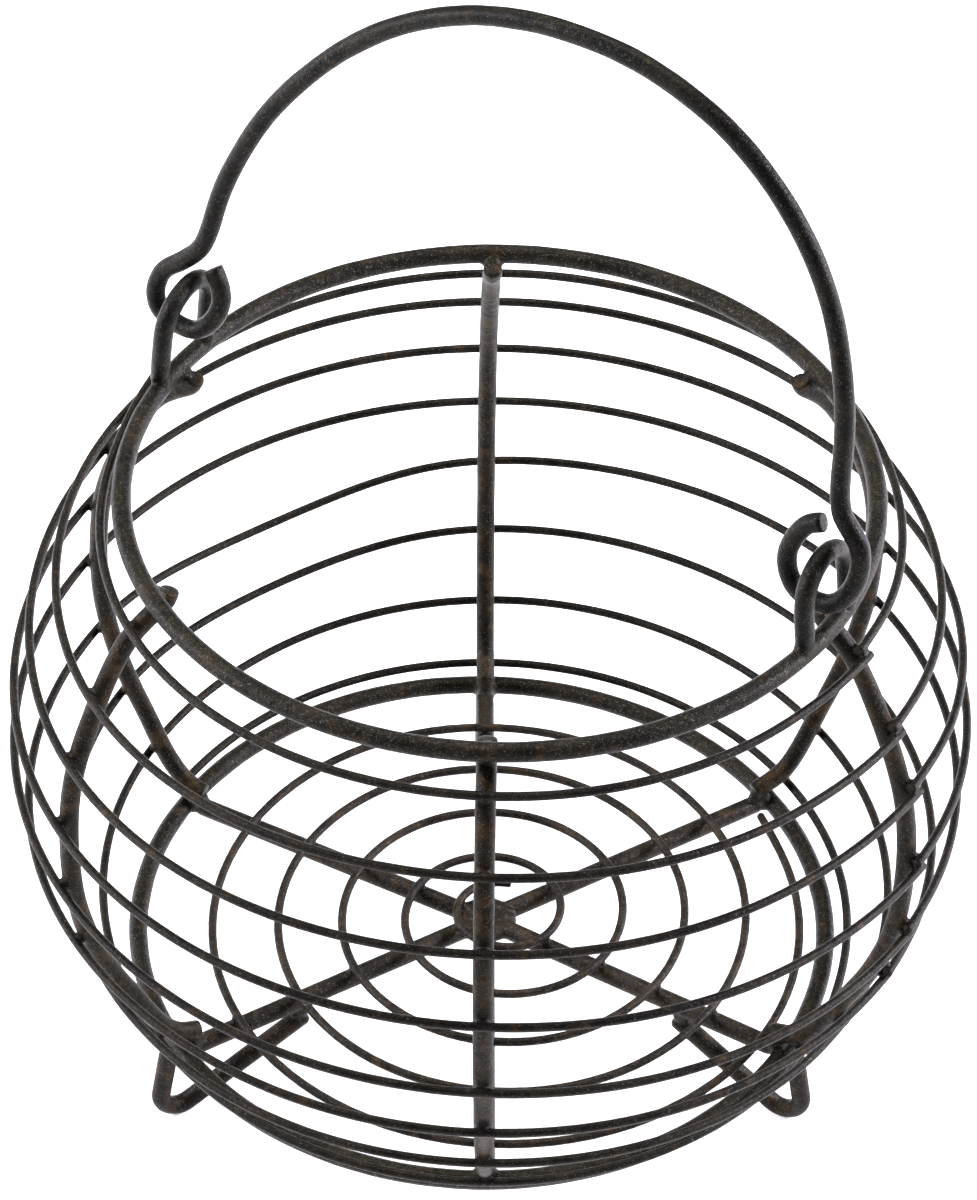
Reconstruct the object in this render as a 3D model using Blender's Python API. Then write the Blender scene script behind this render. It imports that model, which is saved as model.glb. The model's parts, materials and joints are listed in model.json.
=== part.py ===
"""Onion basket: a swelling round wire basket on three bent feet, with a drop handle hooked into two ears.

Lengths are in metres and +Z is up. The floor is z = 0, the basket's axis is x = y = 0 and its front faces -Y.
Azimuths are in degrees, counterclockwise from +X. A profile point is (radius, height).
"""

import math

import bmesh
import bpy
from mathutils import Vector

OBJECT_NAME = "onion_basket"
CUTTER_COLLECTION_NAME = "cutters"

# Wires, and the clearance where one piece touches another
HEAVY_WIRE = 0.0050
THIN_WIRE = 0.0023
GAP = 0.0003

# Rim and base ring
RIM_RADIUS = 0.0950
RIM_HEIGHT = 0.1787
BASE_RADIUS = 0.0930
BASE_HEIGHT = 0.0282

# The basket is a little narrower than deep, and its wall and base sit a little to the left of the rim
OVAL_SHARE = -0.011
WALL_SHIFT_SHARE = -0.011
BASE_SHIFT_SHARE = -0.027

# The wall that the hoops lie on, from the bottom: share of the height from base ring to rim, share of the rim's radius
WALL_SHARES = (
    (0.000, 0.972),
    (0.035, 1.037),
    (0.078, 1.093),
    (0.158, 1.156),
    (0.257, 1.235),
    (0.392, 1.297),
    (0.541, 1.307),
    (0.684, 1.277),
    (0.820, 1.192),
    (0.934, 1.094),
    (1.000, 1.006),
)

# The hoops are the turns of one falling helix. Shares of the height from base ring to rim at which it crosses the ribs,
# counterclockwise from the rib that it starts on, a turn to a line
HELIX_START = "back_left"
HELIX_SHARES = (
    (0.997, 0.959, 0.950, 0.941, 0.940, 0.891),
    (0.872, 0.836, 0.837, 0.809, 0.791, 0.788),
    (0.769, 0.722, 0.718, 0.700, 0.650, 0.644),
    (0.623, 0.595, 0.583, 0.546, 0.522, 0.512),
    (0.488, 0.463, 0.432, 0.397, 0.394, 0.379),
    (0.341, 0.337, 0.312, 0.284, 0.250, 0.248),
    (0.213, 0.173, 0.172, 0.133, 0.123, 0.126),
    (0.098, 0.055, 0.035, 0.029, 0.028, 0.029),
    (0.026,),
)

# How far it hangs midway between two ribs, by the ribs passed since its start
HELIX_SAGS = {4: 0.0025, 29: 0.0055, 35: 0.0025}

# The helix is cut at the first rib, where each hoop's end passes under the start of the next
LAP_START_REACH = 0.0015
LAP_END_REACH = 0.0012
LAP_SHIFT_SHARES = (1.0, 1.0, 0.5)

# Ribs, counterclockwise from the one that carries the hoops' ends: azimuth at the foot and at the rim
RIB_AZIMUTHS = {
    "front_right": (-31, -28),
    "back_right": (33.5, 31.5),
    "back": (92, 92),
    "back_left": (152.3, 151.5),
    "front_left": (212.5, 206.5),
    "front": (270, 269),
}
RIB_TIP_ANGLES = (80, 52, 25)
RIB_FOOT_REACH = 0.0050
RIB_KNEE_SHARE = 0.45
RIB_KNEE_RISE = 0.0008

# Spokes in the plane of the base ring
THROUGH_SPOKE = ("front", "back")
HALF_SPOKES = ("front_right", "back_right", "back_left", "front_left")

# Spiral floor that lies on the spokes
SPIRAL_INNER_CENTRE = (0.0019, -0.0011)
SPIRAL_OUTER_CENTRE = (0.0002, -0.0029)
SPIRAL_DRIFT_POWER = 4
SPIRAL_OVAL_SHARE = -0.021
SPIRAL_CURL_RADIUS = 0.0115
SPIRAL_PITCH = 0.0173
SPIRAL_EDGE = 0.0085
SPIRAL_START_AZIMUTH = 75
SPIRAL_CURL_TURNS = 0.48
SPIRAL_TURNS = 4.89

# Feet
FOOT_AZIMUTHS = {"front_right": -28, "back": 92, "front_left": 209}
FOOT_START_SHARE = 0.62
FOOT_LOOP_RADIUS = 0.0057
FOOT_OVERHANG = 0.0037
FOOT_LOOP_END_ANGLE = 20
FOOT_FLAT = 0.0004

# Ears on the rim
EAR_AZIMUTHS = {"right": -32.4, "left": 150.2}
EAR_HALF_WIDTHS = {"right": 0.0100, "left": 0.0106}
EAR_RISES = {"right": 0.0232, "left": 0.0268}
EAR_LEAN = 5.7

# Handle, in its own plane through the hinge axis: points of its arch from left to right, as shares of the rim's radius
# (along the axis, above it)
HINGE_DROP = 0.0134
HANDLE_LEAN = 12
ARCH_SHARES = (
    (-0.936, 0.316), (-0.918, 0.412), (-0.891, 0.504), (-0.812, 0.683), (-0.699, 0.846),
    (-0.565, 0.988), (-0.412, 1.100), (-0.245, 1.177), (-0.079, 1.218), (0.082, 1.229),
    (0.236, 1.217), (0.382, 1.179), (0.519, 1.120), (0.647, 1.031), (0.763, 0.915),
    (0.861, 0.764), (0.932, 0.558), (0.954, 0.431), (0.964, 0.328),
)
# Hooks, along the same wire: points from the crown of the ear that each goes round, as shares of the wire's gauge
HOOK_SHARES = {
    "left": (
        (1.000, 0.977), (1.456, 0.255), (1.684, -0.638), (1.323, -1.797), (0.354, -2.766),
        (-1.014, -2.766), (-1.983, -2.272), (-2.249, -1.322), (-1.888, -0.163), (-0.919, 0.692),
        (0.088, 1.775),
    ),
    "right": (
        (0.106, 2.814), (0.391, 2.073), (0.904, 1.503), (1.455, 0.914), (1.740, -0.093),
        (1.607, -1.347), (1.037, -2.373), (0.391, -2.829), (-0.483, -2.905), (-1.433, -2.563),
        (-1.946, -1.803), (-2.098, -0.910), (-1.832, 0.078), (-1.300, 0.933), (-0.578, 1.332),
    ),
}

# Fineness of the wires
RING_STEPS = 60
WALL_STEPS = 6
HOOP_STEPS = 8
RIB_STEPS = 2
SPIRAL_STEPS = 24
FOOT_LOOP_STEPS = 9
EAR_STEPS = 10
HANDLE_STEPS = 3
WIRE_RESOLUTION = 2
SPIRAL_RESOLUTION = 1

# Finishes: base colour, roughness, metallic value
FINISHES = {
    "ring_steel": ((0.060, 0.052, 0.045), 0.55, 0.60),
    "rib_steel": ((0.075, 0.060, 0.048), 0.60, 0.55),
    "hoop_steel": ((0.070, 0.062, 0.056), 0.58, 0.55),
    "floor_steel": ((0.085, 0.072, 0.064), 0.60, 0.50),
    "foot_steel": ((0.070, 0.055, 0.042), 0.60, 0.50),
    "handle_steel": ((0.050, 0.046, 0.042), 0.50, 0.60),
}

HEAVY_REACH = HEAVY_WIRE / 2
THIN_REACH = THIN_WIRE / 2
BODY_HEIGHT = RIM_HEIGHT - BASE_HEIGHT


def clear_scene():
    """Removes whatever objects the open file holds."""
    for obj in list(bpy.data.objects):
        bpy.data.objects.remove(obj, do_unlink=True)


def make_collection(name):
    collection = bpy.data.collections.new(name)
    bpy.context.scene.collection.children.link(collection)
    return collection


def make_material(name):
    """A Principled material with the named finish."""
    colour, roughness, metallic = FINISHES[name]
    material = bpy.data.materials.new(name)
    material.use_nodes = True
    shader = material.node_tree.nodes["Principled BSDF"]
    shader.inputs["Base Color"].default_value = (*colour, 1)
    shader.inputs["Roughness"].default_value = roughness
    shader.inputs["Metallic"].default_value = metallic
    return material


def on_circle(centre, radius, angle):
    """The point of a circle in the profile plane, at an angle in radians from outwards."""
    return centre + radius * Vector((math.cos(angle), math.sin(angle)))


def spaced(start, end, steps):
    """Evenly spaced values from start to end, both included."""
    return [start + (end - start) * step / steps for step in range(steps + 1)]


def smooth_path(points, steps):
    """Points along a centripetal Catmull-Rom curve that passes through the given points."""
    padded = [2 * points[0] - points[1], *points, 2 * points[-1] - points[-2]]
    path = []
    for before, start, end, after in zip(padded, padded[1:], padded[2:], padded[3:]):
        knots = [0.0]
        for first, second in ((before, start), (start, end), (end, after)):
            knots.append(knots[-1] + math.sqrt((second - first).length))
        for at in spaced(knots[1], knots[2], steps)[:-1]:
            a = before.lerp(start, at / knots[1])
            b = start.lerp(end, (at - knots[1]) / (knots[2] - knots[1]))
            c = end.lerp(after, (at - knots[2]) / (knots[3] - knots[2]))
            d = a.lerp(b, at / knots[2])
            e = b.lerp(c, (at - knots[1]) / (knots[3] - knots[1]))
            path.append(d.lerp(e, (at - knots[1]) / (knots[2] - knots[1])))
    return path + [points[-1]]


def rib_azimuth(name, height):
    """Azimuth of a rib in radians at a height, as it leans from its foot to the rim."""
    at_foot, at_rim = RIB_AZIMUTHS[name]
    return math.radians(at_foot + (at_rim - at_foot) * (height - BASE_HEIGHT) / BODY_HEIGHT)


def in_plan(radius, azimuth):
    """The horizontal vector of this length, at an azimuth in radians."""
    return Vector((radius * math.cos(azimuth), radius * math.sin(azimuth), 0))


def upright(point, azimuth):
    """The 3-D point at an azimuth in radians that a profile point stands for."""
    return in_plan(point.x, azimuth) + Vector((0, 0, point.y))


def add_wire(name, points, diameter, material, collection, closed=False, resolution=WIRE_RESOLUTION):
    """A round wire along the points, with flat cut ends unless it is closed."""
    curve = bpy.data.curves.new(name, "CURVE")
    curve.dimensions = "3D"
    curve.bevel_depth = diameter / 2
    curve.bevel_resolution = resolution
    curve.use_fill_caps = True
    spline = curve.splines.new("POLY")
    spline.points.add(len(points) - 1)
    for spline_point, point in zip(spline.points, points):
        spline_point.co = (*point, 1)
    spline.use_cyclic_u = closed
    spline.use_smooth = True
    curve.materials.append(material)
    wire = bpy.data.objects.new(name, curve)
    collection.objects.link(wire)
    return wire


def make_mesh(wire, collection):
    """The same wire as a closed mesh object, ready for a Boolean."""
    evaluated = wire.evaluated_get(bpy.context.evaluated_depsgraph_get())
    mesh = bpy.data.meshes.new_from_object(evaluated)
    weld_caps(mesh)
    name = wire.name
    solid = bpy.data.objects.new(name, mesh)
    solid.matrix_world = wire.matrix_world.copy()
    bpy.data.objects.remove(wire, do_unlink=True)
    solid.name = name
    collection.objects.link(solid)
    return solid


def weld_caps(mesh):
    """Joins the loose end caps of a converted curve to its tube."""
    cage = bmesh.new()
    cage.from_mesh(mesh)
    bmesh.ops.remove_doubles(cage, verts=cage.verts, dist=GAP / 10)
    cage.to_mesh(mesh)
    cage.free()


def roundness(azimuth, shift_share):
    """What a radius is multiplied by at an azimuth in radians, for the basket's ovalness and a shift along x."""
    return 1 + OVAL_SHARE * math.cos(2 * azimuth) + shift_share * math.cos(azimuth)


def rim_point(azimuth):
    """Profile point of the rim's centreline."""
    return Vector((RIM_RADIUS * roundness(azimuth, 0), RIM_HEIGHT))


def base_point(azimuth):
    """Profile point of the base ring's centreline."""
    return Vector((BASE_RADIUS * roundness(azimuth, BASE_SHIFT_SHARE), BASE_HEIGHT))


def wall_at(azimuth):
    """Profile points of the wall that the hoops lie on, from the bottom."""
    scale = RIM_RADIUS * roundness(azimuth, WALL_SHIFT_SHARE)
    controls = [Vector((share * scale, BASE_HEIGHT + rise * BODY_HEIGHT)) for rise, share in WALL_SHARES]
    return smooth_path(controls, WALL_STEPS)


def wall_point(wall, height):
    """The point of the wall at a height, and the unit vector up the wall there."""
    for below, above in zip(wall, wall[1:]):
        if height <= above.y:
            break
    share = (height - below.y) / (above.y - below.y)
    return below.lerp(above, share), (above - below).normalized()


def hoop_place(azimuth, height, shift):
    """Where a hoop passes: on the wall, moved by the shift up it, and clear of the rim and the base ring."""
    place, upward = wall_point(wall_at(azimuth), height)
    place = place + shift * upward
    clear = HEAVY_REACH + THIN_REACH + 2 * GAP
    for ring in (rim_point(azimuth), base_point(azimuth)):
        rise = abs(place.y - ring.y)
        if rise < clear:
            place.x = max(place.x, ring.x + math.sqrt(clear**2 - rise**2))
    return upright(place, azimuth)


def spiral_point(turns, azimuth):
    """Where the spiral is, in plan, after so many turns: a small curl, then an even spiral, then a ring of full size."""
    radius = SPIRAL_CURL_RADIUS + SPIRAL_PITCH * max(0, turns - SPIRAL_CURL_TURNS)
    radius = min(radius, BASE_RADIUS - SPIRAL_EDGE) * (1 + SPIRAL_OVAL_SHARE * math.cos(2 * azimuth))
    drift = (turns / SPIRAL_TURNS) ** SPIRAL_DRIFT_POWER
    centre = Vector(SPIRAL_INNER_CENTRE).lerp(Vector(SPIRAL_OUTER_CENTRE), drift)
    return centre.to_3d() + in_plan(radius, azimuth)


def rib_points(name):
    """Points of a rib, from its cut end inside the rim to its cut end on a spoke."""
    azimuth = rib_azimuth(name, (BASE_HEIGHT + RIM_HEIGHT) / 2)
    around_rim = HEAVY_WIRE + 2 * GAP
    controls = []
    for angle in RIB_TIP_ANGLES:
        controls.append(on_circle(rim_point(azimuth), around_rim, math.radians(-90 - angle)))
    wall = wall_at(azimuth)
    for rise, _ in reversed(WALL_SHARES[1:-1]):
        point, upward = wall_point(wall, BASE_HEIGHT + rise * BODY_HEIGHT)
        inward = Vector((-upward.y, upward.x))
        controls.append(point + (HEAVY_REACH + THIN_REACH + GAP) * inward)
    base_radius = base_point(azimuth).x
    spiral_reach = spiral_point(SPIRAL_TURNS, azimuth).dot(in_plan(1, azimuth))
    foot_radius = max(base_radius - RIB_FOOT_REACH, spiral_reach + THIN_REACH + GAP)
    spoke_seat = BASE_HEIGHT + HEAVY_WIRE + GAP
    knee_radius = base_radius + RIB_KNEE_SHARE * (foot_radius - base_radius)
    controls.append(Vector((knee_radius, spoke_seat + RIB_KNEE_RISE)))
    controls.append(Vector((foot_radius, spoke_seat)))
    return [upright(point, rib_azimuth(name, point.y)) for point in smooth_path(controls, RIB_STEPS)]


def foot_points(name):
    """Points of a foot, from the underside of its spoke round the loop to the underside of the base ring."""
    azimuth = math.radians(FOOT_AZIMUTHS[name])
    ring = base_point(azimuth)
    start = Vector((FOOT_START_SHARE * BASE_RADIUS, BASE_HEIGHT - HEAVY_WIRE - GAP))
    loop_radius = ring.x + FOOT_OVERHANG - FOOT_LOOP_RADIUS
    loop_centre = Vector((loop_radius, HEAVY_REACH - FOOT_FLAT + FOOT_LOOP_RADIUS))
    to_centre = loop_centre - start
    slope = math.atan2(to_centre.y, to_centre.x) - math.asin(FOOT_LOOP_RADIUS / to_centre.length)
    first_angle = slope - math.pi / 2
    last_angle = math.radians(FOOT_LOOP_END_ANGLE)
    profile = [start]
    for angle in spaced(first_angle, last_angle, FOOT_LOOP_STEPS):
        profile.append(on_circle(loop_centre, FOOT_LOOP_RADIUS, angle))
    to_ring = (ring - profile[-1]).normalized()
    profile.append(ring - (HEAVY_REACH + GAP) * to_ring)
    return [upright(start, rib_azimuth(name, BASE_HEIGHT)), *(upright(point, azimuth) for point in profile[1:])]


def ear_place(side):
    """The middle of an ear's feet, on the rim's centreline, so that both legs stand on its curve."""
    azimuth = math.radians(EAR_AZIMUTHS[side])
    at_rim = rim_point(azimuth).x
    at_legs = math.sqrt(at_rim**2 - EAR_HALF_WIDTHS[side] ** 2)
    return upright(Vector(((at_rim + at_legs) / 2, RIM_HEIGHT)), azimuth)


def hinge_rise():
    """Height of the hinge axis over the rim's centreline."""
    return (EAR_RISES["right"] + EAR_RISES["left"]) / 2 - HINGE_DROP


def hook_points(side, outward):
    """Points of a hook round its ear's crown, in the handle's plane. Outward is the sign of its side along the axis."""
    lean = math.radians(EAR_LEAN)
    half_span = (ear_place("right") - ear_place("left")).length / 2
    crown = Vector((outward * (half_span - EAR_RISES[side] * math.sin(lean)), 0, 0))
    crown.z = EAR_RISES[side] * math.cos(lean) - hinge_rise()
    return [crown + HEAVY_WIRE * Vector((along, 0, above)) for along, above in HOOK_SHARES[side]]


def handle_points():
    """Points of the handle in its own plane from the left tip to the right one, with x along the hinge axis and z up."""
    arch = [RIM_RADIUS * Vector((along, 0, above)) for along, above in ARCH_SHARES]
    return smooth_path([*hook_points("left", -1), *arch, *hook_points("right", 1)], HANDLE_STEPS)


def spoke_end(name):
    """Where a spoke butts against the inside of the base ring."""
    azimuth = rib_azimuth(name, BASE_HEIGHT)
    end = in_plan(base_point(azimuth).x - HEAVY_REACH - GAP, azimuth)
    return end + Vector((0, 0, BASE_HEIGHT))


def hub_point():
    """The middle of the through spoke, where the half spokes meet it."""
    front, back = (spoke_end(name) for name in THROUGH_SPOKE)
    return (front + back) / 2


def half_spoke_start(name):
    """Distance from the hub at which a half spoke's cut end clears the through spoke and the other half spokes."""
    hub = hub_point()
    along = spoke_end(name) - hub
    clear = 0
    for other in THROUGH_SPOKE:
        angle = along.angle(spoke_end(other) - hub)
        if angle < math.pi / 2:
            clear = max(clear, (HEAVY_REACH + GAP + HEAVY_REACH * math.cos(angle)) / math.sin(angle))
    for other in HALF_SPOKES:
        half_angle = along.angle(spoke_end(other) - hub) / 2
        if 0 < half_angle < math.pi / 4:
            clear = max(clear, (HEAVY_REACH * math.cos(half_angle) + GAP) / math.sin(half_angle))
    return clear


def add_rings(collection):
    steel = make_material("ring_steel")
    for name, ring_point in (("rim", rim_point), ("base_ring", base_point)):
        points = [upright(ring_point(azimuth), azimuth) for azimuth in spaced(0, math.tau, RING_STEPS)[:-1]]
        add_wire(name, points, HEAVY_WIRE, steel, collection, closed=True)


def add_ribs(collection):
    steel = make_material("rib_steel")
    for name in RIB_AZIMUTHS:
        add_wire(f"rib_{name}", rib_points(name), HEAVY_WIRE, steel, collection)


def helix_turns():
    """The helix as (azimuth, height) points from its upper end, cut into hoops at the first rib."""
    names = list(RIB_AZIMUTHS)
    first = names.index(HELIX_START)
    heights = [BASE_HEIGHT + share * BODY_HEIGHT for row in HELIX_SHARES for share in row]
    controls = []
    cuts = [0]
    for place, height in enumerate(heights):
        turn, rib = divmod(first + place, len(names))
        controls.append(Vector((rib_azimuth(names[rib], height) + turn * math.tau, height)))
        if rib == 0:
            cuts.append(place)
    cuts.append(len(heights) - 1)
    path = smooth_path(controls, HOOP_STEPS)
    for place, sag in HELIX_SAGS.items():
        for step in range(HOOP_STEPS):
            path[place * HOOP_STEPS + step].y -= sag * math.sin(math.pi * step / HOOP_STEPS) ** 2
    return [path[start * HOOP_STEPS : end * HOOP_STEPS + 1] for start, end in zip(cuts, cuts[1:])]


def hoop_points(turn, laps_start, laps_end):
    """Points of a hoop, whose start is shifted up the wall and whose end down it where they lap on the first rib."""
    shifts = [0.0] * len(turn)
    if laps_start:
        turn = [Vector((turn[0].x - LAP_START_REACH / RIM_RADIUS, turn[0].y)), *turn]
        shifts = [*LAP_SHIFT_SHARES, *shifts[len(LAP_SHIFT_SHARES) - 1 :]]
    if laps_end:
        turn = [*turn, Vector((turn[-1].x + LAP_END_REACH / RIM_RADIUS, turn[-1].y))]
        shifts = [*shifts[: 1 - len(LAP_SHIFT_SHARES)], *(-share for share in reversed(LAP_SHIFT_SHARES))]
    full_shift = THIN_REACH + GAP
    return [hoop_place(point.x, point.y, shift * full_shift) for point, shift in zip(turn, shifts)]


def add_hoops(collection):
    steel = make_material("hoop_steel")
    turns = helix_turns()
    for number, turn in enumerate(turns, start=1):
        points = hoop_points(turn, laps_start=number > 1, laps_end=number < len(turns))
        add_wire(f"hoop_{number}", points, THIN_WIRE, steel, collection)


def add_spokes(collection):
    steel = make_material("floor_steel")
    hub = hub_point()
    ends = [spoke_end(name) for name in THROUGH_SPOKE]
    add_wire("spoke_through", ends, HEAVY_WIRE, steel, collection)
    for name in HALF_SPOKES:
        end = spoke_end(name)
        start = hub + half_spoke_start(name) * (end - hub).normalized()
        add_wire(f"spoke_{name}", [start, end], HEAVY_WIRE, steel, collection)
    return steel


def spiral_points():
    """Points of the floor's wire from its inner tip."""
    points = []
    for step in range(round(SPIRAL_TURNS * SPIRAL_STEPS) + 1):
        turns = step / SPIRAL_STEPS
        points.append(spiral_point(turns, math.radians(SPIRAL_START_AZIMUTH) + math.tau * turns))
    return points


def least_gap_between_turns(points):
    """The smallest clear distance between parts of the spiral that are half a turn or more apart along it."""
    half_turn = SPIRAL_STEPS // 2
    gaps = []
    for place, point in enumerate(points):
        gaps.extend((point - other).length for other in points[place + half_turn :])
    return min(gaps) - THIN_WIRE


def add_spiral(steel, collection):
    points = spiral_points()
    spiral = add_wire("base_spiral", points, THIN_WIRE, steel, collection, resolution=SPIRAL_RESOLUTION)
    seat = BASE_HEIGHT + HEAVY_REACH + GAP + THIN_REACH
    spiral.location.z = seat
    print(f"base_spiral: least gap between turns {least_gap_between_turns(points):.4f} m")


def add_floor_cutter(collection):
    """A block under the floor that grinds the feet flat."""
    width = 3 * BASE_RADIUS
    bpy.ops.mesh.primitive_cube_add(size=width, location=(0, 0, -width / 2))
    cutter = bpy.context.object
    cutter.name = "floor_cutter"
    for other in cutter.users_collection:
        other.objects.unlink(cutter)
    collection.objects.link(cutter)
    cutter.hide_render = True
    cutter.display_type = "WIRE"
    return cutter


def add_feet(collection, cutters):
    steel = make_material("foot_steel")
    cutter = add_floor_cutter(cutters)
    for name in FOOT_AZIMUTHS:
        wire = add_wire(f"foot_{name}", foot_points(name), HEAVY_WIRE, steel, collection)
        bpy.context.view_layer.update()
        foot = make_mesh(wire, collection)
        grind = foot.modifiers.new("ground flat", "BOOLEAN")
        grind.operation = "DIFFERENCE"
        grind.solver = "EXACT"
        grind.object = cutter


def add_ears(steel, collection):
    foot_height = HEAVY_REACH + GAP
    for side, azimuth in EAR_AZIMUTHS.items():
        half_width = EAR_HALF_WIDTHS[side]
        crown_centre = Vector((0, EAR_RISES[side] - half_width))
        outline = [Vector((half_width, foot_height))]
        outline.extend(on_circle(crown_centre, half_width, angle) for angle in spaced(0, math.pi, EAR_STEPS))
        outline.append(Vector((-half_width, foot_height)))
        points = [Vector((0, point.x, point.y)) for point in outline]
        ear = add_wire(f"ear_{side}", points, HEAVY_WIRE, steel, collection)
        ear.rotation_euler = (0, -math.radians(EAR_LEAN), math.radians(azimuth))
        ear.location = ear_place(side)


def add_handle(steel, collection):
    """The handle, whose origin is on the hinge axis, midway between the ears."""
    handle = add_wire("handle", handle_points(), HEAVY_WIRE, steel, collection)
    right, left = ear_place("right"), ear_place("left")
    handle.location = (right + left) / 2 + Vector((0, 0, hinge_rise()))
    handle.rotation_euler = (-math.radians(HANDLE_LEAN), 0, math.atan2(right.y - left.y, right.x - left.x))


def main():
    clear_scene()
    basket = make_collection(OBJECT_NAME)
    cutters = make_collection(CUTTER_COLLECTION_NAME)
    add_rings(basket)
    add_ribs(basket)
    add_hoops(basket)
    floor_steel = add_spokes(basket)
    add_spiral(floor_steel, basket)
    add_feet(basket, cutters)
    handle_steel = make_material("handle_steel")
    add_ears(handle_steel, basket)
    add_handle(handle_steel, basket)


main()
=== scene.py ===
"""Onion basket: the wires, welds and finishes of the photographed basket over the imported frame.

Lengths are in metres and +Z is up. The floor is z = 0 and the basket's front faces -Y.
"""

import json
import logging
import math
from dataclasses import dataclass, field
from enum import Enum

import bmesh
import bpy
from mathutils import Matrix, Vector
from mathutils.kdtree import KDTree

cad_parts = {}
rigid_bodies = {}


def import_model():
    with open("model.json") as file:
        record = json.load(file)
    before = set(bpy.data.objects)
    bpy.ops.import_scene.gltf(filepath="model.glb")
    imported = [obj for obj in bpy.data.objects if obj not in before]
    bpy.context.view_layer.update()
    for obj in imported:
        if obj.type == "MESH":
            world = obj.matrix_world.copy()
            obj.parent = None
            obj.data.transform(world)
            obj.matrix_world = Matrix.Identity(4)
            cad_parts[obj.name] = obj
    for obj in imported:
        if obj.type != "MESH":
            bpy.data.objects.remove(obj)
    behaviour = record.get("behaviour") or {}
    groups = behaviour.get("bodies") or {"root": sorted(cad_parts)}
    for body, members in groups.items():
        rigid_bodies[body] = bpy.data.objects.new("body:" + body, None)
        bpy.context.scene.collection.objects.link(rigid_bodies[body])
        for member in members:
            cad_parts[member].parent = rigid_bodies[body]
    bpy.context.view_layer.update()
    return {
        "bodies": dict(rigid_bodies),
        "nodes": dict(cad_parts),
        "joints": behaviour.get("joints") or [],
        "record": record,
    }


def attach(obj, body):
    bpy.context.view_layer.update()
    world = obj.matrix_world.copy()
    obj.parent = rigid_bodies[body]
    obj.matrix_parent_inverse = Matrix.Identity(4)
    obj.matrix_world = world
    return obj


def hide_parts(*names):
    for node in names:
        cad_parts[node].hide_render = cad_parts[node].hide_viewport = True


LOG = logging.getLogger("onion_basket")

FRAME_WIDTH = 977
FRAME_HEIGHT = 1200

BASKET = "basket"
HANDLE = "handle"

# Sockets of a Mix node that mixes colours
MIX_FIRST = 6
MIX_SECOND = 7
MIX_RESULT = 2


class Gauge(Enum):
    """The two gauges of wire, as diameters."""

    HEAVY = 0.0050
    THIN = 0.0023


def is_thin(name: str) -> bool:
    """Tells whether a wire is of the thin gauge.

    Args:
        name: name of the wire's node.

    Returns:
        True for the hoops and the spiral.
    """
    return name.startswith("hoop") or name == "base_spiral"


def choose(*pieces: bpy.types.Object) -> None:
    """Selects only these objects and makes the last active.

    Args:
        pieces: the objects.
    """
    bpy.ops.object.select_all(action="DESELECT")
    for piece in pieces:
        piece.select_set(True)
    bpy.context.view_layer.objects.active = pieces[-1]


@dataclass(frozen=True)
class Finish:
    """One antiqued coat over steel.

    Attributes:
        slot: material slot of the record.
        dark: colour of the coat where it is whole.
        worn: colour where the coat is thin, in broad clouds.
        grain_and_glints: colour of the pale specks that stand out of the coat, partly its fine
            grains and partly painted glints of light on them.
        rust_and_reflection: colour of the brown stains where the steel has rusted, and of the
            painted warm reflection on the undersides.
        grain_and_glint_cover: share of the surface that the pale specks, of grains and painted
            glints, cover.
        rust_cover: share of the surface that the stains cover.
        metallic: metallic value.
        roughness: roughness between the grains.
        grain_size: width of a grain.
        relief: height of the grain in the bump.
    """

    slot: str
    dark: tuple[float, float, float]
    worn: tuple[float, float, float]
    grain_and_glints: tuple[float, float, float]
    rust_and_reflection: tuple[float, float, float]
    grain_and_glint_cover: float
    rust_cover: float
    metallic: float
    roughness: float
    grain_size: float
    relief: float


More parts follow.
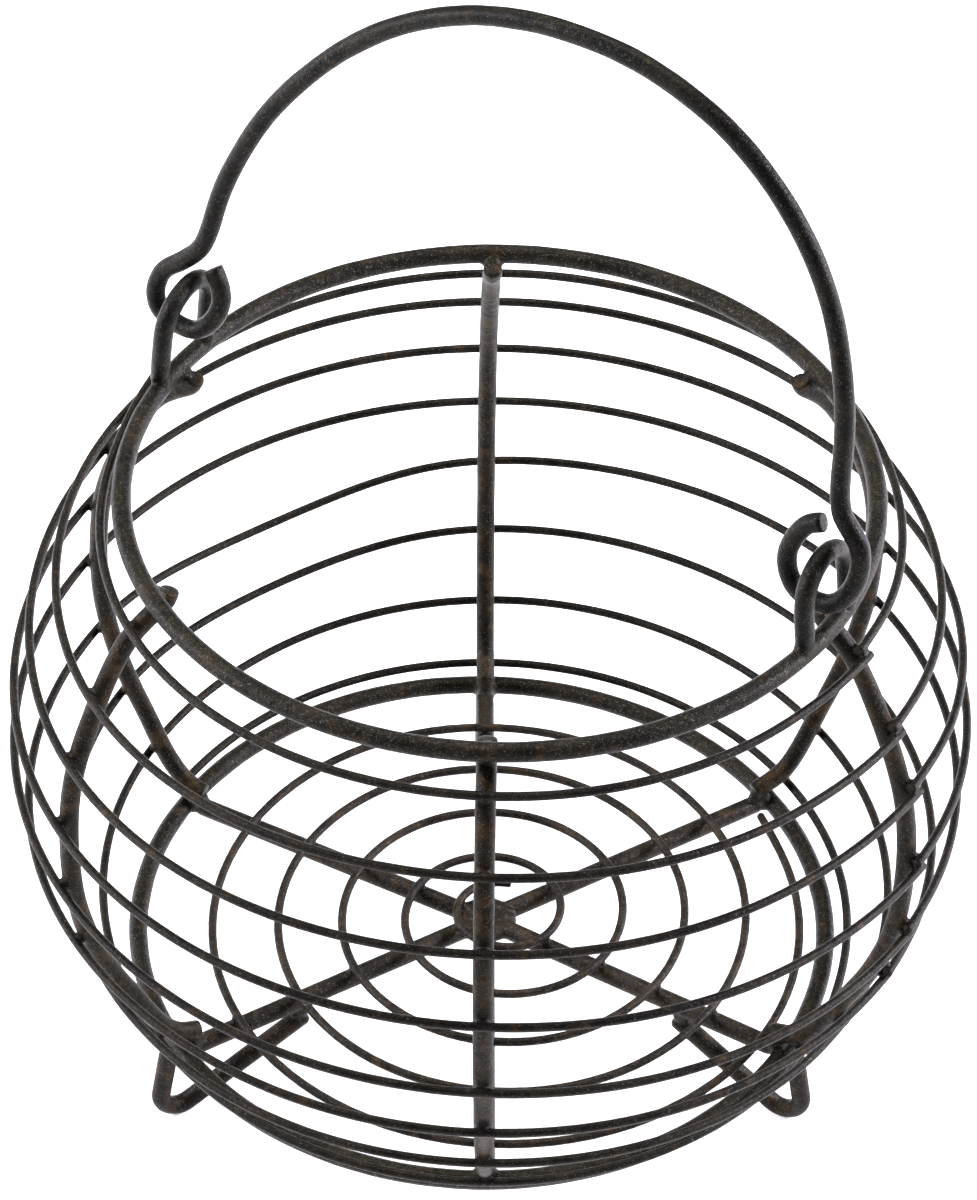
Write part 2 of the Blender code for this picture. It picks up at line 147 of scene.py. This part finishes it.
# The brown colours below are rust stains, and on the undersides also a painted warm reflection.
# The pale speck colours below are partly the coat's grain and partly painted glints of light on it.
FINISHES = {
    "ring_steel": Finish(
        slot="ring_steel",
        dark=(0.0047, 0.0040, 0.0030),
        worn=(0.0105, 0.0087, 0.0061),
        grain_and_glints=(0.0960, 0.0875, 0.0677),
        rust_and_reflection=(0.0238, 0.0152, 0.0077),
        grain_and_glint_cover=0.21,
        rust_cover=0.18,
        metallic=0.55,
        roughness=0.32,
        grain_size=0.00036,
        relief=0.00020,
    ),
    "rib_steel": Finish(
        slot="rib_steel",
        dark=(0.0050, 0.0041, 0.0029),
        worn=(0.0121, 0.0092, 0.0061),
        grain_and_glints=(0.0880, 0.0741, 0.0500),
        rust_and_reflection=(0.0308, 0.0186, 0.0084),
        grain_and_glint_cover=0.17,
        rust_cover=0.28,
        metallic=0.50,
        roughness=0.36,
        grain_size=0.00040,
        relief=0.00018,
    ),
    "hoop_steel": Finish(
        slot="hoop_steel",
        dark=(0.0045, 0.0039, 0.0030),
        worn=(0.0099, 0.0081, 0.0061),
        grain_and_glints=(0.0800, 0.0733, 0.0574),
        rust_and_reflection=(0.0224, 0.0145, 0.0077),
        grain_and_glint_cover=0.17,
        rust_cover=0.16,
        metallic=0.55,
        roughness=0.34,
        grain_size=0.00034,
        relief=0.00016,
    ),
    "floor_steel": Finish(
        slot="floor_steel",
        dark=(0.0072, 0.0059, 0.0046),
        worn=(0.0198, 0.0157, 0.0121),
        grain_and_glints=(0.0960, 0.0820, 0.0633),
        rust_and_reflection=(0.0350, 0.0228, 0.0122),
        grain_and_glint_cover=0.17,
        rust_cover=0.24,
        metallic=0.45,
        roughness=0.40,
        grain_size=0.00048,
        relief=0.00016,
    ),
    "foot_steel": Finish(
        slot="foot_steel",
        dark=(0.0050, 0.0041, 0.0030),
        worn=(0.0121, 0.0092, 0.0066),
        grain_and_glints=(0.0880, 0.0756, 0.0530),
        rust_and_reflection=(0.0294, 0.0179, 0.0084),
        grain_and_glint_cover=0.17,
        rust_cover=0.28,
        metallic=0.50,
        roughness=0.38,
        grain_size=0.00042,
        relief=0.00018,
    ),
    "handle_steel": Finish(
        slot="handle_steel",
        dark=(0.0040, 0.0038, 0.0031),
        worn=(0.0088, 0.0081, 0.0061),
        grain_and_glints=(0.0800, 0.0749, 0.0589),
        rust_and_reflection=(0.0182, 0.0131, 0.0077),
        grain_and_glint_cover=0.15,
        rust_cover=0.16,
        metallic=0.55,
        roughness=0.30,
        grain_size=0.00036,
        relief=0.00017,
    ),
}


@dataclass
class CoatMaterial:
    """Builds the procedural material of one finish.

    Attributes:
        finish: what the coat looks like.
        cloud_size: width of the broad clouds of wear.
        stain_size: width of the rust stains.
        patch_grains: width of the patches that hold the pale specks, partly grains and partly
            painted glints, in grains.
        patch_level: share of the surface between those patches.
        noise_roughness: how strong the finer octaves of a noise are.
        noise_range: range that nearly all of a noise lies in.
        soft: half the width of a mask's edge, as noise.
        specular: specular level of the coat.
        roughness_rise: how much rougher the coat is where it is worn.
        grain_strength: strength of the grain's bump.
        dent_strength: strength of the dents' bump.
        dent_depth: depth of a dent, in reliefs of the grain.
        dent_width: width of a dent, as a share of a stain's.
        underside_reflection: how much more of the brown colour the undersides hold, as a painted
            warm reflection.
        underside_from: upward part of the normal at which an underside starts.
        underside_full: the same where it is an underside in full.
        tree: the material's node tree.
        place: the object coordinates that all the noises use.
    """

    finish: Finish
    cloud_size: float = 0.012
    stain_size: float = 0.005
    patch_grains: float = 3
    patch_level: float = 0.45
    noise_roughness: float = 0.6
    noise_range: float = 0.42
    soft: float = 0.07
    specular: float = 0.16
    roughness_rise: float = 0.22
    grain_strength: float = 0.9
    dent_strength: float = 0.5
    dent_depth: float = 4
    dent_width: float = 0.5
    underside_reflection: float = 0.09
    underside_from: float = 0.1
    underside_full: float = -0.8
    tree: bpy.types.NodeTree = field(init=False)
    place: bpy.types.NodeSocket = field(init=False)

    def build(self) -> bpy.types.Material:
        """Makes the material.

        Returns:
            The material, whose colour, roughness and bump come from noise on object coordinates.
        """
        finish = self.finish
        material = bpy.data.materials.new(f"{finish.slot}_coat")
        material.use_nodes = True
        self.tree = material.node_tree
        shader = self.tree.nodes["Principled BSDF"]
        self.place = self.tree.nodes.new("ShaderNodeTexCoord").outputs["Object"]

        clouds = self.noise(self.cloud_size, detail=3)
        grains = self.noise(finish.grain_size, detail=2)
        stains = self.noise(self.stain_size, detail=4)
        patches = self.noise(finish.grain_size * self.patch_grains, detail=2)

        colour = self.mix(self.mask(clouds, 0.5), finish.dark, finish.worn)
        # Brown rust stains at random, with more of their colour on the undersides as a painted warm
        # reflection.
        stains_and_reflection = self.shifted(stains, self.underside())
        colour = self.mix(self.mask(stains_and_reflection, 1 - finish.rust_cover), colour, finish.rust_and_reflection)
        # Pale specks: partly the coat's grain, partly painted glints of light on the grain.
        grain_and_glint_mask = self.mask(grains, 1 - finish.grain_and_glint_cover)
        grain_and_glint_mask = self.multiply(grain_and_glint_mask, self.mask(patches, self.patch_level))
        colour = self.mix(grain_and_glint_mask, colour, finish.grain_and_glints)
        self.tree.links.new(colour, shader.inputs["Base Color"])

        roughness = self.tree.nodes.new("ShaderNodeMapRange")
        roughness.inputs["To Min"].default_value = finish.roughness
        roughness.inputs["To Max"].default_value = finish.roughness + self.roughness_rise
        self.tree.links.new(clouds, roughness.inputs["Value"])
        self.tree.links.new(roughness.outputs["Result"], shader.inputs["Roughness"])
        shader.inputs["Metallic"].default_value = finish.metallic
        shader.inputs["Specular IOR Level"].default_value = self.specular

        bump = self.tree.nodes.new("ShaderNodeBump")
        bump.inputs["Strength"].default_value = self.grain_strength
        bump.inputs["Distance"].default_value = finish.relief
        self.tree.links.new(grains, bump.inputs["Height"])
        dents = self.tree.nodes.new("ShaderNodeBump")
        dents.inputs["Strength"].default_value = self.dent_strength
        dents.inputs["Distance"].default_value = finish.relief * self.dent_depth
        hollows = self.noise(self.stain_size * self.dent_width, detail=2)
        self.tree.links.new(hollows, dents.inputs["Height"])
        self.tree.links.new(dents.outputs["Normal"], bump.inputs["Normal"])
        self.tree.links.new(bump.outputs["Normal"], shader.inputs["Normal"])
        return material

    def noise(self, size: float, detail: float) -> bpy.types.NodeSocket:
        """Adds a noise whose blobs are about this wide.

        Args:
            size: width of a blob.
            detail: octaves of finer noise.

        Returns:
            The noise, from 0 to 1 with its middle near a half.
        """
        node = self.tree.nodes.new("ShaderNodeTexNoise")
        node.inputs["Scale"].default_value = 1 / size
        node.inputs["Detail"].default_value = detail
        node.inputs["Roughness"].default_value = self.noise_roughness
        self.tree.links.new(self.place, node.inputs["Vector"])
        return node.outputs["Fac"]

    def mask(self, value: bpy.types.NodeSocket, level: float) -> bpy.types.NodeSocket:
        """Adds a soft step.

        Args:
            value: a noise.
            level: share of the surface that stays below the step.

        Returns:
            0 below the level and 1 above it.
        """
        node = self.tree.nodes.new("ShaderNodeMapRange")
        middle = 0.5 + (level - 0.5) * self.noise_range
        node.inputs["From Min"].default_value = middle - self.soft
        node.inputs["From Max"].default_value = middle + self.soft
        self.tree.links.new(value, node.inputs["Value"])
        return node.outputs["Result"]

    def mix(
        self,
        factor: bpy.types.NodeSocket,
        first: bpy.types.NodeSocket | tuple[float, float, float],
        second: tuple[float, float, float],
    ) -> bpy.types.NodeSocket:
        """Adds a mix of two colours.

        Args:
            factor: socket that gives the share of the second colour.
            first: a socket or a colour.
            second: a colour.

        Returns:
            The mixed colour.
        """
        node = self.tree.nodes.new("ShaderNodeMix")
        node.data_type = "RGBA"
        self.tree.links.new(factor, node.inputs["Factor"])
        if isinstance(first, tuple):
            node.inputs[MIX_FIRST].default_value = (*first, 1)
        else:
            self.tree.links.new(first, node.inputs[MIX_FIRST])
        node.inputs[MIX_SECOND].default_value = (*second, 1)
        return node.outputs[MIX_RESULT]

    def multiply(
        self, first: bpy.types.NodeSocket, second: bpy.types.NodeSocket
    ) -> bpy.types.NodeSocket:
        """Adds a product of two masks.

        Args:
            first: a mask.
            second: another.

        Returns:
            Their product.
        """
        node = self.tree.nodes.new("ShaderNodeMath")
        node.operation = "MULTIPLY"
        self.tree.links.new(first, node.inputs[0])
        self.tree.links.new(second, node.inputs[1])
        return node.outputs[0]

    def underside(self) -> bpy.types.NodeSocket:
        """Adds how far the surface faces down, which places the painted warm reflection.

        Returns:
            1 straight down and 0 from level upwards.
        """
        normal = self.tree.nodes.new("ShaderNodeNewGeometry").outputs["Normal"]
        split = self.tree.nodes.new("ShaderNodeSeparateXYZ")
        self.tree.links.new(normal, split.inputs["Vector"])
        node = self.tree.nodes.new("ShaderNodeMapRange")
        node.inputs["From Min"].default_value = self.underside_from
        node.inputs["From Max"].default_value = self.underside_full
        self.tree.links.new(split.outputs["Z"], node.inputs["Value"])
        return node.outputs["Result"]

    def shifted(
        self, value: bpy.types.NodeSocket, by: bpy.types.NodeSocket
    ) -> bpy.types.NodeSocket:
        """Raises a noise where a mask is set.

        Args:
            value: a noise.
            by: a mask.

        Returns:
            The noise plus a share of the mask.
        """
        node = self.tree.nodes.new("ShaderNodeMath")
        node.operation = "MULTIPLY_ADD"
        self.tree.links.new(by, node.inputs[0])
        # The undersides get more of the brown colour: a painted warm reflection.
        node.inputs[1].default_value = self.underside_reflection
        self.tree.links.new(value, node.inputs[2])
        return node.outputs[0]


@dataclass
class Wire:
    """One forged wire: the frame's faceted wire made round, uneven and soft at its cut ends.

    Attributes:
        node: name of the frame's node.
        gauge: its gauge.
        sides: number of sides of the frame's wire.
        unevenness: how far the surface swells and dips.
        levels: levels of subdivision.
        end_crease: how sharp the cut ends stay.
        end_width: how far a cut end may reach from one of its faces, in gauges.
        same_corner: distance within which two corners are one.
        level_normals: cosine of the angle within which two faces are coplanar.
        flat_angle: angle within which two triangles may join into a quad.
        skew_angle: how far that quad may be from a rectangle.
        wave: length of the swells along the wire.
    """

    node: str
    gauge: Gauge
    sides: int
    unevenness: float
    levels: int = 2
    end_crease: float = 0.93
    end_width: float = 1.1
    same_corner: float = 0.00001
    level_normals: float = 0.99999
    flat_angle: float = math.radians(28)
    skew_angle: float = math.radians(80)
    wave: float = 0.010

    def build(self, source: bpy.types.Object, material: bpy.types.Material) -> bpy.types.Object:
        """Makes the wire from its node.

        Args:
            source: the frame's node.
            material: its coat.

        Returns:
            The finished piece, which replaces the node.
        """
        mesh = source.data.copy()
        mesh.materials.clear()
        mesh.materials.append(material)
        piece = bpy.data.objects.new(f"{self.node}_wire", mesh)
        bpy.context.collection.objects.link(piece)
        self.square_up(mesh)
        choose(piece)
        subdivide = piece.modifiers.new("round", "SUBSURF")
        subdivide.levels = self.levels
        bpy.ops.object.modifier_apply(modifier=subdivide.name)
        self.regauge(piece)
        for vert in piece.data.vertices:  # the feet stand on the floor and not in it
            vert.co.z = max(vert.co.z, 0)
        bpy.ops.object.shade_smooth()
        return piece

    def square_up(self, mesh: bpy.types.Mesh) -> None:
        """Joins the node's triangles into quads and flat cut ends.

        Args:
            mesh: a copy of the node's mesh.
        """
        cage = bmesh.new()
        cage.from_mesh(mesh)
        bmesh.ops.remove_doubles(cage, verts=cage.verts, dist=self.same_corner)
        for end in self.cut_ends(cage):
            bmesh.ops.dissolve_faces(cage, faces=end, use_verts=True)
        bmesh.ops.join_triangles(
            cage,
            faces=cage.faces,
            angle_face_threshold=self.flat_angle,
            angle_shape_threshold=self.skew_angle,
        )
        crease = cage.edges.layers.float.new("crease_edge")
        for face in cage.faces:
            if len(face.verts) >= self.sides - 1:
                for edge in face.edges:
                    edge[crease] = self.end_crease
        cage.to_mesh(mesh)
        cage.free()

    def cut_ends(self, cage: bmesh.types.BMesh) -> list[list[bmesh.types.BMFace]]:
        """Finds the flat cut ends, each a patch of coplanar faces no wider than the wire.

        Args:
            cage: the wire.

        Returns:
            The faces of each patch of three or more.
        """
        seen = set()
        ends = []
        reach = self.gauge.value * self.end_width
        for start in cage.faces:
            if start in seen:
                continue
            patch = [start]
            seen.add(start)
            for face in patch:
                for edge in face.edges:
                    for other in edge.link_faces:
                        level = other.normal.dot(start.normal) > self.level_normals
                        if level and other not in seen:
                            seen.add(other)
                            patch.append(other)
            middle = start.calc_center_median()
            corners = (vert.co for face in patch for vert in face.verts)
            if len(patch) > 2 and all((corner - middle).length < reach for corner in corners):
                ends.append(patch)
        return ends

    def regauge(self, piece: bpy.types.Object) -> None:
        """Swells the wire back to its gauge, since subdivision thins it, with slow swells and dips.

        Args:
            piece: the subdivided wire.
        """
        kept_share = (2 + math.cos(math.tau / self.sides)) / 3
        swell = self.gauge.value / 2 * (1 - kept_share)
        texture = bpy.data.textures.new(f"{self.node}_swells", "CLOUDS")
        texture.noise_scale = self.wave
        choose(piece)
        for name, strength, middle, with_texture in (
            ("gauge", swell, 0.0, None),
            ("swells", self.unevenness, 0.5, texture),
        ):
            displace = piece.modifiers.new(name, "DISPLACE")
            displace.texture = with_texture
            displace.texture_coords = "LOCAL"
            displace.strength = strength
            displace.mid_level = middle
            bpy.ops.object.modifier_apply(modifier=displace.name)


@dataclass
class Contact:
    """A place where two wires touch.

    Attributes:
        place: the middle of it.
        nodes: names of the two wires.
        reach: how far the weld spreads from it.
    """

    place: Vector
    nodes: tuple[str, str]
    reach: float


@dataclass
class Welds:
    """The fillets that join the basket's wires where they touch.

    Attributes:
        touch: least distance between two wires' surfaces that no weld fills.
        spacing: distance between the points that stand for a wire's edges.
        apart: distance at which two contacts of the same wires are two welds.
        grid: size of the remesh's cells.
        thin_rounds: how often the skin is smoothed at thin wires, which fills their inner corners.
        heavy_rounds: how often it is smoothed at heavy wires.
        thin_reach: how far a weld on a thin wire spreads.
        heavy_reach: how far a weld between heavy wires spreads.
        hub_reach: how far the web at the hub spreads.
        bead_share: radius of the weld metal at a contact, as a share of the weld's reach.
        hub_bead_share: the same at the hub.
        web_thinness: height of the weld metal at the hub, as a share of its width.
        bead_levels: fineness of the drops of weld metal.
        smooth_share: how far each round of smoothing moves a point towards its neighbours.
        contacts: the places where the wires touch.
    """

    touch: float = 0.0014
    spacing: float = 0.0010
    apart: float = 0.009
    grid: float = 0.00045
    thin_rounds: int = 7
    heavy_rounds: int = 24
    thin_reach: float = 0.0032
    heavy_reach: float = 0.0068
    hub_reach: float = 0.0105
    bead_share: float = 0.40
    hub_bead_share: float = 0.30
    web_thinness: float = 0.70
    bead_levels: int = 2
    smooth_share: float = 0.5
    contacts: list[Contact] = field(default_factory=list)

    def find(self, nodes: dict[str, bpy.types.Object]) -> None:
        """Finds where the basket's wires touch.

        Args:
            nodes: the frame's nodes of the fixed body.
        """
        names = sorted(nodes)
        samples = [(name, point) for name in names for point in self.edge_points(nodes[name].data)]
        tree = KDTree(len(samples))
        for place, (_, point) in enumerate(samples):
            tree.insert(point, place)
        tree.balance()
        groups: dict[tuple[str, str], list[list[Vector]]] = {}
        for name, point in samples:
            for near, place, _ in tree.find_range(point, self.touch):
                other = samples[place][0]
                if other <= name or not self.welded(name, other):
                    continue
                middle = (point + near) / 2
                clusters = groups.setdefault((name, other), [])
                for cluster in clusters:
                    if (cluster[0] - middle).length < self.apart:
                        cluster.append(middle)
                        break
                else:
                    clusters.append([middle])
        for pair, clusters in groups.items():
            for cluster in clusters:
                place = sum(cluster, Vector()) / len(cluster)
                self.contacts.append(Contact(place, pair, self.reach_of(pair)))
        LOG.info("%d welds", len(self.contacts))

    def edge_points(self, mesh: bpy.types.Mesh) -> list[Vector]:
        """Points along a mesh's edges.

        Args:
            mesh: the mesh of a node.

        Returns:
            The points, evenly spaced on each edge.
        """
        points = []
        for edge in mesh.edges:
            start, end = (mesh.vertices[index].co for index in edge.vertices)
            steps = max(1, math.ceil((end - start).length / self.spacing))
            points.extend(start.lerp(end, step / steps) for step in range(steps))
        return points

    @staticmethod
    def welded(first: str, second: str) -> bool:
        """Tells whether two wires are welded where they touch.

        Args:
            first: name of a wire.
            second: name of another.

        Returns:
            False for hoops along the rings, which are held by the ribs alone.
        """
        kinds = {first.split("_")[0], second.split("_")[0]}
        return not (kinds <= {"hoop", "rim", "base"} or kinds == {"hoop", "foot"})

    def reach_of(self, pair: tuple[str, str]) -> float:
        """How far a weld between two wires spreads.

        Args:
            pair: names of the wires.

        Returns:
            The distance from the contact.
        """
        if any(is_thin(name) for name in pair):
            return self.thin_reach
        if all(name.startswith("spoke") for name in pair):
            return self.hub_reach
        return self.heavy_reach

    def build(
        self, pieces: list[bpy.types.Object], finishes: dict[str, bpy.types.Material]
    ) -> None:
        """Makes the welds as one piece for each kind.

        Args:
            pieces: the finished wires of the basket.
            finishes: the coats by slot.
        """
        thin, heavy = self.thin_rounds, self.heavy_rounds
        hoops = [
            contact
            for contact in self.contacts
            if any(name.startswith("hoop") for name in contact.nodes)
        ]
        floor = [contact for contact in self.contacts if "base_spiral" in contact.nodes]
        hub = [contact for contact in self.contacts if contact.reach == self.hub_reach]
        frame = [contact for contact in self.contacts if contact.reach == self.heavy_reach]
        kinds = (
            ("hoop_welds", "hoop_steel", thin, hoops),
            ("floor_welds", "floor_steel", thin, floor),
            ("hub_web", "floor_steel", heavy, hub),
            ("frame_welds", "ring_steel", heavy, frame),
        )
        skin = self.remesh(pieces)
        fused = {rounds: self.fill(skin, rounds) for rounds in (thin, heavy)}
        for name, slot, rounds, contacts in kinds:
            choose(fused[rounds])
            bpy.ops.object.duplicate()
            welds = bpy.context.object
            welds.name = name
            self.trim(welds.data, contacts)
            welds.data.materials.clear()
            welds.data.materials.append(finishes[slot])
            choose(welds)
            bpy.ops.object.shade_smooth()
            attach(welds, BASKET)
        for used in (skin, *fused.values()):
            bpy.data.objects.remove(used, do_unlink=True)

    def remesh(self, pieces: list[bpy.types.Object]) -> bpy.types.Object:
        """Makes one skin over all the wires.

        Args:
            pieces: the wires.

        Returns:
            The skin.
        """
        choose(*pieces)
        bpy.ops.object.duplicate()
        self.add_beads().select_set(True)
        bpy.ops.object.join()
        skin = bpy.context.object
        remesh = skin.modifiers.new("skin", "REMESH")
        remesh.mode = "VOXEL"
        remesh.voxel_size = self.grid
        bpy.ops.object.modifier_apply(modifier=remesh.name)
        LOG.info("skin of %d faces", len(skin.data.polygons))
        return skin

    def add_beads(self) -> bpy.types.Object:
        """Adds a drop of weld metal at each contact.

        Returns:
            All the drops as one object.
        """
        cage = bmesh.new()
        for contact in self.contacts:
            at_hub = contact.reach == self.hub_reach
            height = self.web_thinness if at_hub else 1
            share = self.hub_bead_share if at_hub else self.bead_share
            drop = Matrix.Translation(contact.place) @ Matrix.Diagonal((1, 1, height, 1))
            radius = share * contact.reach
            bmesh.ops.create_icosphere(
                cage, subdivisions=self.bead_levels, radius=radius, matrix=drop
            )
        mesh = bpy.data.meshes.new("weld_metal")
        cage.to_mesh(mesh)
        cage.free()
        drops = bpy.data.objects.new("weld_metal", mesh)
        bpy.context.collection.objects.link(drops)
        return drops

    def fill(self, skin: bpy.types.Object, rounds: int) -> bpy.types.Object:
        """Smooths a copy of the skin, which then lies inside the wires but fills their corners.

        Args:
            skin: the skin.
            rounds: how often it is smoothed.

        Returns:
            The smoothed copy.
        """
        choose(skin)
        bpy.ops.object.duplicate()
        filled = bpy.context.object
        smooth = filled.modifiers.new("fill", "SMOOTH")
        smooth.factor = self.smooth_share
        smooth.iterations = rounds
        bpy.ops.object.modifier_apply(modifier=smooth.name)
        return filled

    @staticmethod
    def trim(mesh: bpy.types.Mesh, contacts: list[Contact]) -> None:
        """Keeps only the skin round some contacts, and closes it where it was cut inside the wires.

        Args:
            mesh: a copy of the skin.
            contacts: the contacts to keep.
        """
        tree = KDTree(len(contacts))
        for place, contact in enumerate(contacts):
            tree.insert(contact.place, place)
        tree.balance()
        cage = bmesh.new()
        cage.from_mesh(mesh)
        outside = []
        for vert in cage.verts:
            _, place, distance = tree.find(vert.co)
            if distance > contacts[place].reach:
                outside.append(vert)
        bmesh.ops.delete(cage, geom=outside, context="VERTS")
        open_edges = [edge for edge in cage.edges if edge.is_boundary]
        bmesh.ops.holes_fill(cage, edges=open_edges, sides=0)
        cage.to_mesh(mesh)
        cage.free()


@dataclass
class PhotoCamera:
    """The camera at the photograph's viewing angle.

    Attributes:
        place: where the lens is.
        forward: the direction it looks in.
        roll: how far it is turned about that direction, in radians.
        focal_pixels: focal length in pixels of the photograph.
        centre_x: where the lens axis meets the photograph, in pixels from its left edge.
        centre_y: the same, in pixels from its upper edge.
        sensor_height: height of the sensor in millimetres.
    """

    place: tuple[float, float, float] = (0.0024, -0.98883, 1.00852)
    forward: tuple[float, float, float] = (-0.00179, 0.73791, -0.67490)
    roll: float = 0.0198
    focal_pixels: float = 5196.6
    centre_x: float = 495.4
    centre_y: float = 711.0
    sensor_height: float = 36.0

    def axes(self) -> Matrix:
        """The camera's own axes as the columns of a matrix.

        Returns:
            A 4 x 4 matrix that turns and places the camera.
        """
        forward = Vector(self.forward).normalized()
        level = forward.cross(Vector((0, 0, 1))).normalized()
        upright = level.cross(forward)
        right = level * math.cos(self.roll) + upright * math.sin(self.roll)
        up = upright * math.cos(self.roll) - level * math.sin(self.roll)
        turned = Matrix((right, up, -forward)).transposed().to_4x4()
        return Matrix.Translation(Vector(self.place)) @ turned

    def build(self) -> bpy.types.Object:
        """Adds the camera and makes it the scene's own.

        Returns:
            The camera.
        """
        bpy.ops.object.camera_add()
        camera = bpy.context.object
        camera.name = "photo_camera"
        camera.matrix_world = self.axes()
        lens = camera.data
        lens.sensor_fit = "VERTICAL"
        lens.sensor_height = self.sensor_height
        lens.lens = self.focal_pixels / FRAME_HEIGHT * self.sensor_height
        lens.shift_x = (FRAME_WIDTH / 2 - self.centre_x) / FRAME_HEIGHT
        lens.shift_y = (self.centre_y - FRAME_HEIGHT / 2) / FRAME_HEIGHT
        bpy.context.scene.camera = camera
        return camera


@dataclass(frozen=True)
class Lamp:
    """A large square lamp that faces the basket.

    Attributes:
        name: its name.
        place: where it is.
        size: side of the lamp.
        power: power in watts.
        colour: its colour.
    """

    name: str
    place: tuple[float, float, float]
    size: float
    power: float
    colour: tuple[float, float, float] = (1.0, 1.0, 1.0)


@dataclass
class Studio:
    """A plain pale floor and soft light from large lamps.

    Attributes:
        floor_size: side of the floor.
        floor_colour: its colour.
        floor_roughness: its roughness.
        floor_glow: strength of its own light, which keeps it white under soft lamps.
        aim: the point that the lamps face.
        ambient: strength of the light from all round.
        lamps: the lamps.
    """

    floor_size: float = 8.0
    floor_colour: tuple[float, float, float] = (0.90, 0.90, 0.90)
    floor_roughness: float = 0.9
    floor_glow: float = 0.45
    aim: tuple[float, float, float] = (0.0, 0.0, 0.12)
    ambient: float = 0.30
    lamps: tuple[Lamp, ...] = (
        Lamp("top_lamp", (-0.2, 0.7, 1.8), 0.8, 34.0, (1.0, 0.95, 0.87)),
        Lamp("left_lamp", (-1.5, 0.0, 0.9), 0.4, 52.0, (0.90, 0.89, 1.0)),
        Lamp("right_lamp", (1.6, 0.3, 0.8), 0.35, 84.0, (0.88, 0.87, 1.0)),
    )

    def build(self) -> bpy.types.Object:
        """Adds the floor, the lamps and the world.

        Returns:
            The floor.
        """
        bpy.ops.mesh.primitive_plane_add(size=self.floor_size)
        floor = bpy.context.object
        floor.name = "studio_floor"
        material = bpy.data.materials.new("studio_floor")
        material.use_nodes = True
        shader = material.node_tree.nodes["Principled BSDF"]
        shader.inputs["Base Color"].default_value = (*self.floor_colour, 1)
        shader.inputs["Roughness"].default_value = self.floor_roughness
        shader.inputs["Emission Color"].default_value = (1, 1, 1, 1)
        shader.inputs["Emission Strength"].default_value = self.floor_glow
        floor.data.materials.append(material)
        for lamp in self.lamps:
            bpy.ops.object.light_add(type="AREA", location=lamp.place)
            light = bpy.context.object
            light.name = lamp.name
            light.data.size = lamp.size
            light.data.energy = lamp.power
            light.data.color = lamp.colour
            to_aim = Vector(self.aim) - Vector(lamp.place)
            light.rotation_euler = to_aim.to_track_quat("-Z", "Y").to_euler()
        self.build_world()
        bpy.context.scene.view_settings.view_transform = "Standard"
        return floor

    def build_world(self) -> None:
        """Makes the world white to the camera and softer as a light."""
        world = bpy.data.worlds.new("studio_world")
        bpy.context.scene.world = world
        world.use_nodes = True
        tree = world.node_tree
        background = tree.nodes["Background"]
        background.inputs["Color"].default_value = (1, 1, 1, 1)
        path = tree.nodes.new("ShaderNodeLightPath")
        strength = tree.nodes.new("ShaderNodeMapRange")
        strength.inputs["To Min"].default_value = self.ambient
        strength.inputs["To Max"].default_value = 1.0
        tree.links.new(path.outputs["Is Camera Ray"], strength.inputs["Value"])
        tree.links.new(strength.outputs["Result"], background.inputs["Strength"])


@dataclass
class OnionBasket:
    """The whole dressed basket.

    Attributes:
        wire_sides: number of sides of the frame's wires.
        spiral_sides: the same of its spiral.
        heavy_unevenness: how far a heavy wire's surface swells and dips.
        thin_unevenness: the same of a thin wire's.
    """

    frame: dict
    wire_sides: int = 8
    spiral_sides: int = 6
    heavy_unevenness: float = 0.00022
    thin_unevenness: float = 0.00012

    def build(self) -> None:
        """Makes every wire, the welds between them and their coats."""
        coats = {slot: CoatMaterial(finish).build() for slot, finish in FINISHES.items()}
        slots = {part["node"]: part["material_slot"] for part in self.frame["record"]["subparts"]}
        fixed = {}
        for name, node in self.frame["nodes"].items():
            thin = is_thin(name)
            body = HANDLE if name == HANDLE else BASKET
            wire = Wire(
                node=name,
                gauge=Gauge.THIN if thin else Gauge.HEAVY,
                sides=self.spiral_sides if name == "base_spiral" else self.wire_sides,
                unevenness=self.thin_unevenness if thin else self.heavy_unevenness,
            )
            piece = wire.build(node, coats[slots[name]])
            if body == BASKET:
                fixed[name] = piece
            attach(piece, body)
            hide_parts(name)
        welds = Welds()
        welds.find({name: self.frame["nodes"][name] for name in fixed})
        welds.build(list(fixed.values()), coats)


def main() -> None:
    """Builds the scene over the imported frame."""
    logging.basicConfig(level=logging.INFO, format="%(name)s: %(message)s")
    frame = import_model()
    bpy.ops.object.select_all(action="DESELECT")
    PhotoCamera().build()
    Studio().build()
    OnionBasket(frame).build()


if __name__ == "__main__":
    main()
